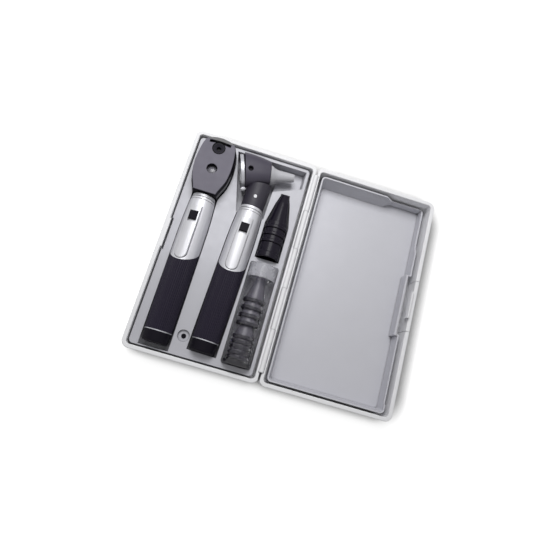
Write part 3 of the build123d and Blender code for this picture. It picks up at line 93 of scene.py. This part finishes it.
GRAIN_STRENGTH, BRUSHED_STRENGTH = 0.6, 0.5     # of the bump in plastic and in metal
PLASTIC_SPREAD, METAL_SPREAD = 0.04, 0.05       # how far roughness strays each way
METAL_GAP_SHADE = (0.15, 0.0012)      # painted shade: how dark narrow gaps get in metal, and how far that reaches
GAP_SHADE_RANGE = (0.15, 0.75)        # occlusion where the painted shade in a gap is darkest, and where it ends
CLEAR_DARKEST = 0.96            # share of its colour that clear plastic goes down to
CLEAR_SPREAD = 0.05             # how much rougher clear plastic gets
SLANT_BLEND, SLANT_RANGE = 0.35, (0.3, 0.95)    # where a clear wall gets denser as it turns away
BAND_EDGE = 0.0003              # half the soft edge between two bands of colour
BAND_WOBBLE = 0.12                # how far a noise moves that edge


class Look(Nodes):
    """A node-based material under construction. edge is the rounding that its edges show."""

    def __init__(self, name, edge=0.0):
        self.edge = edge
        self.material = bpy.data.materials.new(name)
        self.material.use_nodes = True
        super().__init__(self.material.node_tree)
        self.shader = self.tree.nodes["Principled BSDF"]
        self.coords = self.node("TexCoord").outputs["Object"]

    def set(self, **values):
        """Feed the shader's sockets, with _ for each space in their names."""
        for key, value in values.items():
            self.feed(self.shader.inputs[key.replace("_", " ")], value)
        return self

    def mapped(self, scale, shift=(0, 0, 0)):
        made = self.node("Mapping")
        self.feed(made.inputs["Scale"], scale)
        self.feed(made.inputs["Location"], shift)
        self.feed(made.inputs["Vector"], self.coords)
        return made.outputs["Vector"]

    def noise(self, scale, detail=2.0, stretch=None):
        made = self.node("TexNoise")
        self.feed(made.inputs["Scale"], scale)
        self.feed(made.inputs["Detail"], detail)
        self.feed(made.inputs["Vector"], self.mapped(stretch) if stretch else self.coords)
        return made.outputs["Fac"]

    def mix(self, fac, a, b):
        """Colour a where fac is 0 and b where it is 1."""
        made = self.node("Mix", data_type="RGBA")
        self.feed(made.inputs["A"], (*a, 1))
        self.feed(made.inputs["B"], (*b, 1))
        self.feed(made.inputs["Factor"], fac)
        return made.outputs["Result"]

    def with_painted_shade(self, colour, by):
        """The colour times by, which runs from 0 to 1: this paints shade on it."""
        made = self.node("Mix", data_type="RGBA", blend_type="MULTIPLY")
        self.feed(made.inputs["Factor"], 1.0)
        self.feed(made.inputs["A"], colour)
        self.feed(made.inputs["B"], by)
        return made.outputs["Result"]

    def colour(self, a, b, scale, detail=2.0, stretch=None, shade=None):
        """Varying colour; shade is how dark the painted shade in narrow gaps gets and how far that
        reaches.
        """
        result = self.mix(self.remap(self.noise(scale, detail, stretch), 0, 1), a, b)
        if shade:
            darkest, reach = shade
            gap = self.openness(reach).outputs["AO"]
            result = self.with_painted_shade(result, self.remap(gap, darkest, 1.0, *GAP_SHADE_RANGE))
        return self.set(Base_Color=result)

    def rough(self, low, high, scale, stretch=None):
        return self.set(Roughness=self.remap(self.noise(scale, FINE, stretch), low, high))

    def bump(self, height, depth, strength):
        made = self.node("Bump")
        self.feed(made.inputs["Distance"], depth)
        self.feed(made.inputs["Strength"], strength)
        self.feed(made.inputs["Height"], height)
        if self.edge:
            soft = self.node("Bevel", samples=4)
            self.feed(soft.inputs["Radius"], self.edge)
            self.feed(made.inputs["Normal"], soft.outputs["Normal"])
        return self.set(Normal=made.outputs["Normal"])

    def crown(self, middle_x, radius):
        """Height of a shallow crown across X, for a pressed strip along Y."""
        split = self.node("SeparateXYZ")
        self.feed(split.inputs["Vector"], self.coords)
        off = self.maths("SUBTRACT", split.outputs["X"], middle_x)
        return self.maths("DIVIDE", self.maths("MULTIPLY", off, off), -2.0 * radius)


def varied(colour, share):
    """The darker and the lighter end of a colour that varies by share."""
    return [c * (1 - share) for c in colour], [min(c * (1 + share), 1) for c in colour]


def satin_plastic(name, colour, rough, depth=0.00002, vary=0.03, spec=0.5, edge=0.0003,
                  shade=(0.3, 0.002)):
    """Moulded plastic, with a grain of the given depth and painted shade in its narrow gaps."""
    look = Look(name, edge).set(Specular_IOR_Level=spec)
    look.colour(*varied(colour, vary), MOTTLE, FINE, shade=shade)
    look.rough(rough - PLASTIC_SPREAD, rough + PLASTIC_SPREAD, SMEARS)
    return look.bump(look.noise(GRAIN), depth, GRAIN_STRENGTH)


def brushed(name, colour, rough, metal, vary=0.05, edge=0.0002):
    """Metal brushed along the handles, with painted shade in its narrow gaps, still without its bump.
    """
    look = Look(name, edge).set(Metallic=metal)
    look.colour(*varied(colour, vary), BRUSHING, stretch=LENGTHWISE, shade=METAL_GAP_SHADE)
    return look.rough(rough - METAL_SPREAD, rough + METAL_SPREAD, POLISH, LENGTHWISE)


def satin_metal(name, colour, rough, depth=0.00001, metal=1.0):
    """Brushed metal, with a grain of the given depth."""
    look = brushed(name, colour, rough, metal)
    return look.bump(look.noise(GRAIN, stretch=LENGTHWISE), depth, BRUSHED_STRENGTH)


def clear(name, colour, rough, alpha, edge_alpha=None):
    """See-through plastic or glass, denser where its wall is seen at a slant."""
    look = Look(name).set(Transmission_Weight=1.0, Alpha=alpha, IOR=1.45)
    look.colour([c * CLEAR_DARKEST for c in colour], colour, GLASS_MOTTLE)
    look.rough(rough, rough + CLEAR_SPREAD, GLASS_SMEARS)
    if edge_alpha:
        slant = look.node("LayerWeight")
        look.feed(slant.inputs["Blend"], SLANT_BLEND)
        look.set(Alpha=look.remap(slant.outputs["Facing"], alpha, edge_alpha, *SLANT_RANGE))
    return look


def banded(name, outside, inside, rough, centre, across, radius, depth=0.000003, spec=0.5):
    """Turned part with a painted band: one colour within radius of its axis and another beyond it,
    which paints light and shade on it.

    across picks the two axes that the radius is measured along."""
    look = Look(name).set(Specular_IOR_Level=spec)
    from_axis = look.node("VectorMath", operation="LENGTH")
    look.feed(from_axis.inputs[0], look.mapped(across, [-c * axis for c, axis in zip(centre, across)]))
    beyond = look.remap(from_axis.outputs["Value"], 0, 1, radius - BAND_EDGE, radius + BAND_EDGE)
    edge_wobble = look.remap(look.noise(SMEARS, FINE), -BAND_WOBBLE, BAND_WOBBLE)
    look.set(Base_Color=look.mix(look.maths("ADD", beyond, edge_wobble, clamp=True), inside, outside))
    look.rough(rough - PLASTIC_SPREAD, rough + PLASTIC_SPREAD, SMEARS)
    return look.bump(look.noise(GRAIN), depth, GRAIN_STRENGTH)


def lining(name, colour):
    """Silvery formed sheet of the tray and the lid liner, with painted shade in its narrow gaps."""
    look = satin_plastic(name, colour, 0.45, depth=0.000006, vary=0.01, spec=0.2, edge=0.0005,
                         shade=(0.25, 0.0025))
    return look.set(Metallic=0.1)


def moulded_black(name, colour, rough, coat):
    """Glossy moulded black: a broad soft sheen with a sharper shine on its edges."""
    look = satin_plastic(name, colour, rough, depth=0.000002, spec=0.1)
    return look.set(Coat_Weight=coat, Coat_Roughness=0.15)


def middle(node):
    """Centre of a node's box at rest."""
    low, high = (Vector(corner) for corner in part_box(node))
    return (low + high) / 2


def crowned_clip(node, radius=0.011):
    """Pressed metal pocket clip, slightly crowned across."""
    look = brushed(node + "_metal", (0.6, 0.6, 0.63), 0.42, metal=0.3)
    return look.bump(look.crown(middle(node).x, radius), 1.0, 1.0)


# ---------------------------------------------------------------- materials

COOL_BLACK = (0.006, 0.005, 0.009)
ROUND_Y, ROUND_Z = (1, 0, 1), (1, 1, 0)   # the axes that a band's radius is measured along

# one look for each material slot of the record
looks = {
    # shade is painted shade: how dark narrow gaps get, and how far that reaches
    "case_shell": satin_plastic("shell_white", (0.9, 0.9, 0.92), 0.42, depth=0.000012,
                                vary=0.008, spec=0.2, edge=0.0005, shade=(0.6, 0.002)),
    "case_lining": lining("lining_silver", (0.57, 0.57, 0.61)),
    "steel_pin": satin_metal("steel", (0.6, 0.6, 0.62), 0.3),
    "satin_metal": satin_metal("satin_metal", (0.59, 0.59, 0.625), 0.46, 0.000002, metal=0.5),
    "bright_metal": satin_metal("bright_metal", (0.68, 0.68, 0.71), 0.56, 0.000001, metal=0.25),
    "black_grip": satin_plastic("grip_black", (0.013, 0.01, 0.022), 0.45, depth=0.000004,
                                edge=0.0001, spec=0.17),
    "black_gloss": satin_plastic("gloss_black", COOL_BLACK, 0.22, depth=0.000002, spec=0.2),
    "black_matt": satin_plastic("matt_black", COOL_BLACK, 0.5, depth=0.000004, spec=0.08),
    "face_grey": satin_plastic("face_grey", (0.14, 0.132, 0.166), 0.5, depth=0.00001,
                               vary=0.06, spec=0.25),
    "brow_rubber": satin_plastic("brow_rubber", (0.17, 0.168, 0.172), 0.6, spec=0.3),
    "head_grey": satin_plastic("head_grey", (0.064, 0.058, 0.08), 0.45, depth=0.000006,
                               vary=0.06, edge=0.0005, spec=0.22),
    "clear_glass": clear("clear_glass", (0.9, 0.92, 0.93), 0.03, 0.5),
    "clear_plastic": clear("clear_plastic", (0.9, 0.88, 1.0), 0.05, 0.14, 0.5),
    "cap_plastic": clear("cap_plastic", (0.8, 0.8, 0.86), 0.25, 0.5, 0.8).set(
        Transmission_Weight=0.4),
    "speculum_grey": satin_plastic("speculum_grey", (0.5, 0.5, 0.53), 0.3, depth=0.000003),
    "mirror_face": satin_metal("mirror_face", (0.9, 0.9, 0.9), 0.08, 0.000001),
    "lamp_glass": clear("lamp_glass", (0.95, 0.93, 0.85), 0.04, 0.4),
    "battery_sleeve": satin_plastic("battery_sleeve", (0.15, 0.2, 0.16), 0.35),
    "spring_wire": satin_metal("spring_wire", (0.6, 0.6, 0.6), 0.25),
}

chrome = satin_metal("window_chrome", (0.42, 0.42, 0.45), 0.4, 0.000001, metal=0.7)
tip_black = moulded_black("tip_black", (0.005, 0.003, 0.01), 0.4, 0.15)
# painted shade on the flanges and painted sheen on the bodies between them
inner_specula = banded("inner_specula", (0.006, 0.005, 0.011), (0.085, 0.08, 0.1), 0.35,
                       middle("dispenser_tube"), ROUND_Y, 0.0077)

# looks for single nodes where the slot's look is not the whole story
own_looks = {
    # the lining's silver made darker on the tray: painted shade
    "base_tray": lining("tray_silver_painted_shade", (0.48, 0.48, 0.515)),
    "oph_clip": crowned_clip("oph_clip"),
    "oto_clip": crowned_clip("oto_clip"),
    "oph_trim_ring": chrome,
    "oto_trim_ring": chrome,
    "oto_window_frame": chrome,
    "oph_dial_lens": satin_plastic("reading_lens", (0.17, 0.165, 0.19), 0.2, depth=0.000001),
    # the sight glass is drawn near black and opaque: painted shade for the dark inside seen through it
    "oph_sight_glass": satin_plastic("sight_glass_painted_dark", (0.004, 0.004, 0.006), 0.4, depth=0.000001,
                                     spec=0.1),
    # the black outer band is painted shade for the gap round the ring; the inside is the ring's own
    # dark grey
    "oph_aperture_ring": banded("aperture_ring", (0.003, 0.003, 0.005), (0.024, 0.022, 0.03), 0.5,
                                middle("oph_aperture_ring"), ROUND_Z, 0.004, spec=0.1),
    "oph_rear_housing": satin_plastic("housing_gloss", COOL_BLACK, 0.24, depth=0.000002),
    "oto_neck": satin_plastic("neck_black", (0.02, 0.017, 0.028), 0.5, depth=0.000002, spec=0.4),
    "oto_neck_screw": satin_metal("neck_screw", (0.5, 0.5, 0.52), 0.5, 0.000001, metal=0.4),
    "dispenser_foot": satin_plastic("foot_black", (0.01, 0.009, 0.014), 0.25, depth=0.000002),
    "disposable_specula_small": inner_specula,
    "disposable_specula_large": inner_specula,
    **{f"reusable_speculum_{number}": tip_black for number in range(1, 5)},
}

slot_of = {part["node"]: part["material_slot"] for part in frame["record"]["subparts"]}
for name, node in nodes.items():
    look = own_looks.get(name, looks[slot_of[name]])
    node.data.materials.clear()
    node.data.materials.append(look.material)

# ---------------------------------------------------------------- floor

FLOOR_HALF, FLOOR_Z = 6.0, -0.0004   # the floor is a hair below the case, so that they don't mix
FLOOR_GREY = 0.45
GLOW = 0.88                          # how much the floor glows for the background's rays
CONTACT_REACH = 0.007                # how far the painted contact shadow beside the case goes
SHADOW_REACH = 0.021                 # how far the wide soft painted shadow goes
OPEN_SIDE = (-0.7, -0.5, 0.5)        # the wide shadow falls away from this side
# how dark each painted shadow gets, and the occlusion where it is darkest and where it ends
CONTACT_SHADE = {"low": 0.2, "high": 1.0, "from_low": 0.3, "from_high": 0.9}
WIDE_SHADE = {"low": 0.0, "high": 1.0, "from_low": 0.55, "from_high": 0.9}


def floor_glow(look):
    """White for the background's rays, with painted shadow beside whatever stands on the floor."""
    close = look.remap(look.openness(CONTACT_REACH).outputs["AO"], **CONTACT_SHADE)
    lean = look.node("CombineXYZ")
    for axis, part in zip("XYZ", OPEN_SIDE):
        look.feed(lean.inputs[axis], part)
    wide = look.openness(SHADOW_REACH, samples=16)
    look.feed(wide.inputs["Normal"], lean.outputs["Vector"])
    shadow = look.maths("MULTIPLY", close, look.remap(wide.outputs["AO"], **WIDE_SHADE))
    return look.maths("MULTIPLY", look.maths("MULTIPLY", look.background_rays(), GLOW), shadow)


def make_floor():
    """Wide plain square that keeps the shadows."""
    quarters = ((-1, -1), (1, -1), (1, 1), (-1, 1))
    corners = [(x * FLOOR_HALF, y * FLOOR_HALF, FLOOR_Z) for x, y in quarters]
    mesh = bpy.data.meshes.new("floor")
    mesh.from_pydata(corners, [], [(0, 1, 2, 3)])
    sheet = bpy.data.objects.new("floor", mesh)
    bpy.context.scene.collection.objects.link(sheet)
    look = Look("floor_white").set(Base_Color=(FLOOR_GREY, FLOOR_GREY, FLOOR_GREY, 1), Roughness=0.9,
                                   Specular_IOR_Level=0.1, Emission_Color=(1, 1, 1, 1))
    look.set(Emission_Strength=floor_glow(look))
    mesh.materials.append(look.material)
    return sheet


floor = make_floor()

# ---------------------------------------------------------------- light

SKY_LOW, SKY_HIGH = 0.1, 0.4   # at the horizon and overhead, as in a room with a soft ceiling light
LAMP_PLACE, LAMP_SIZE, LAMP_POWER = (-0.08, 0.22, 0.42), (0.28, 0.24), 1.48


def make_world():
    """Soft light from above. The camera, gloss and glass see plain white instead."""
    world = bpy.data.worlds.new("studio")
    bpy.context.scene.world = world
    world.use_nodes = True
    tree = Nodes(world.node_tree)
    background = world.node_tree.nodes["Background"]
    tree.feed(background.inputs["Color"], (1, 1, 1, 1))
    split = tree.node("SeparateXYZ")
    tree.feed(split.inputs["Vector"], tree.node("TexCoord").outputs["Generated"])
    sky = tree.remap(split.outputs["Z"], SKY_LOW, SKY_HIGH, 0.0, 1.0)
    tree.feed(background.inputs["Strength"], tree.maths("MAXIMUM", sky, tree.background_rays()))


def make_lamp():
    """Soft broad lamp, high up beyond the tray's far end and aimed at the middle."""
    light = bpy.data.lights.new("key", "AREA")
    light.shape = "RECTANGLE"
    light.size, light.size_y = LAMP_SIZE
    light.energy = LAMP_POWER
    lamp = bpy.data.objects.new("key", light)
    lamp.location = LAMP_PLACE
    lamp.rotation_euler = (-Vector(LAMP_PLACE)).to_track_quat("-Z", "Y").to_euler()
    bpy.context.scene.collection.objects.link(lamp)


make_world()
make_lamp()

# ---------------------------------------------------------------- camera

PHOTO_WIDTH, FOCAL_LENGTH = 554.0, 436.0       # pixels of the photograph
SENSOR_WIDTH = 36.0
CAMERA_PLACE = (-0.02415, -0.08678, 0.3349)
CAMERA_BACK = (-0.05049, -0.23936, 0.96962)    # away from what it looks at
CAMERA_UP = (-0.28786, 0.93314, 0.21537)


def make_camera():
    """Camera at the photograph's viewing angle."""
    camera = bpy.data.cameras.new("camera")
    camera.sensor_width = SENSOR_WIDTH
    camera.lens = SENSOR_WIDTH * FOCAL_LENGTH / PHOTO_WIDTH
    camera.clip_start = 0.01
    made = bpy.data.objects.new("camera", camera)
    back = Vector(CAMERA_BACK).normalized()
    across = Vector(CAMERA_UP).cross(back).normalized()
    turn = Matrix((across, back.cross(across), back)).transposed()
    made.matrix_world = Matrix.Translation(CAMERA_PLACE) @ turn.to_4x4()
    bpy.context.scene.collection.objects.link(made)
    bpy.context.scene.camera = made


make_camera()
bpy.context.scene.view_settings.view_transform = "Standard"
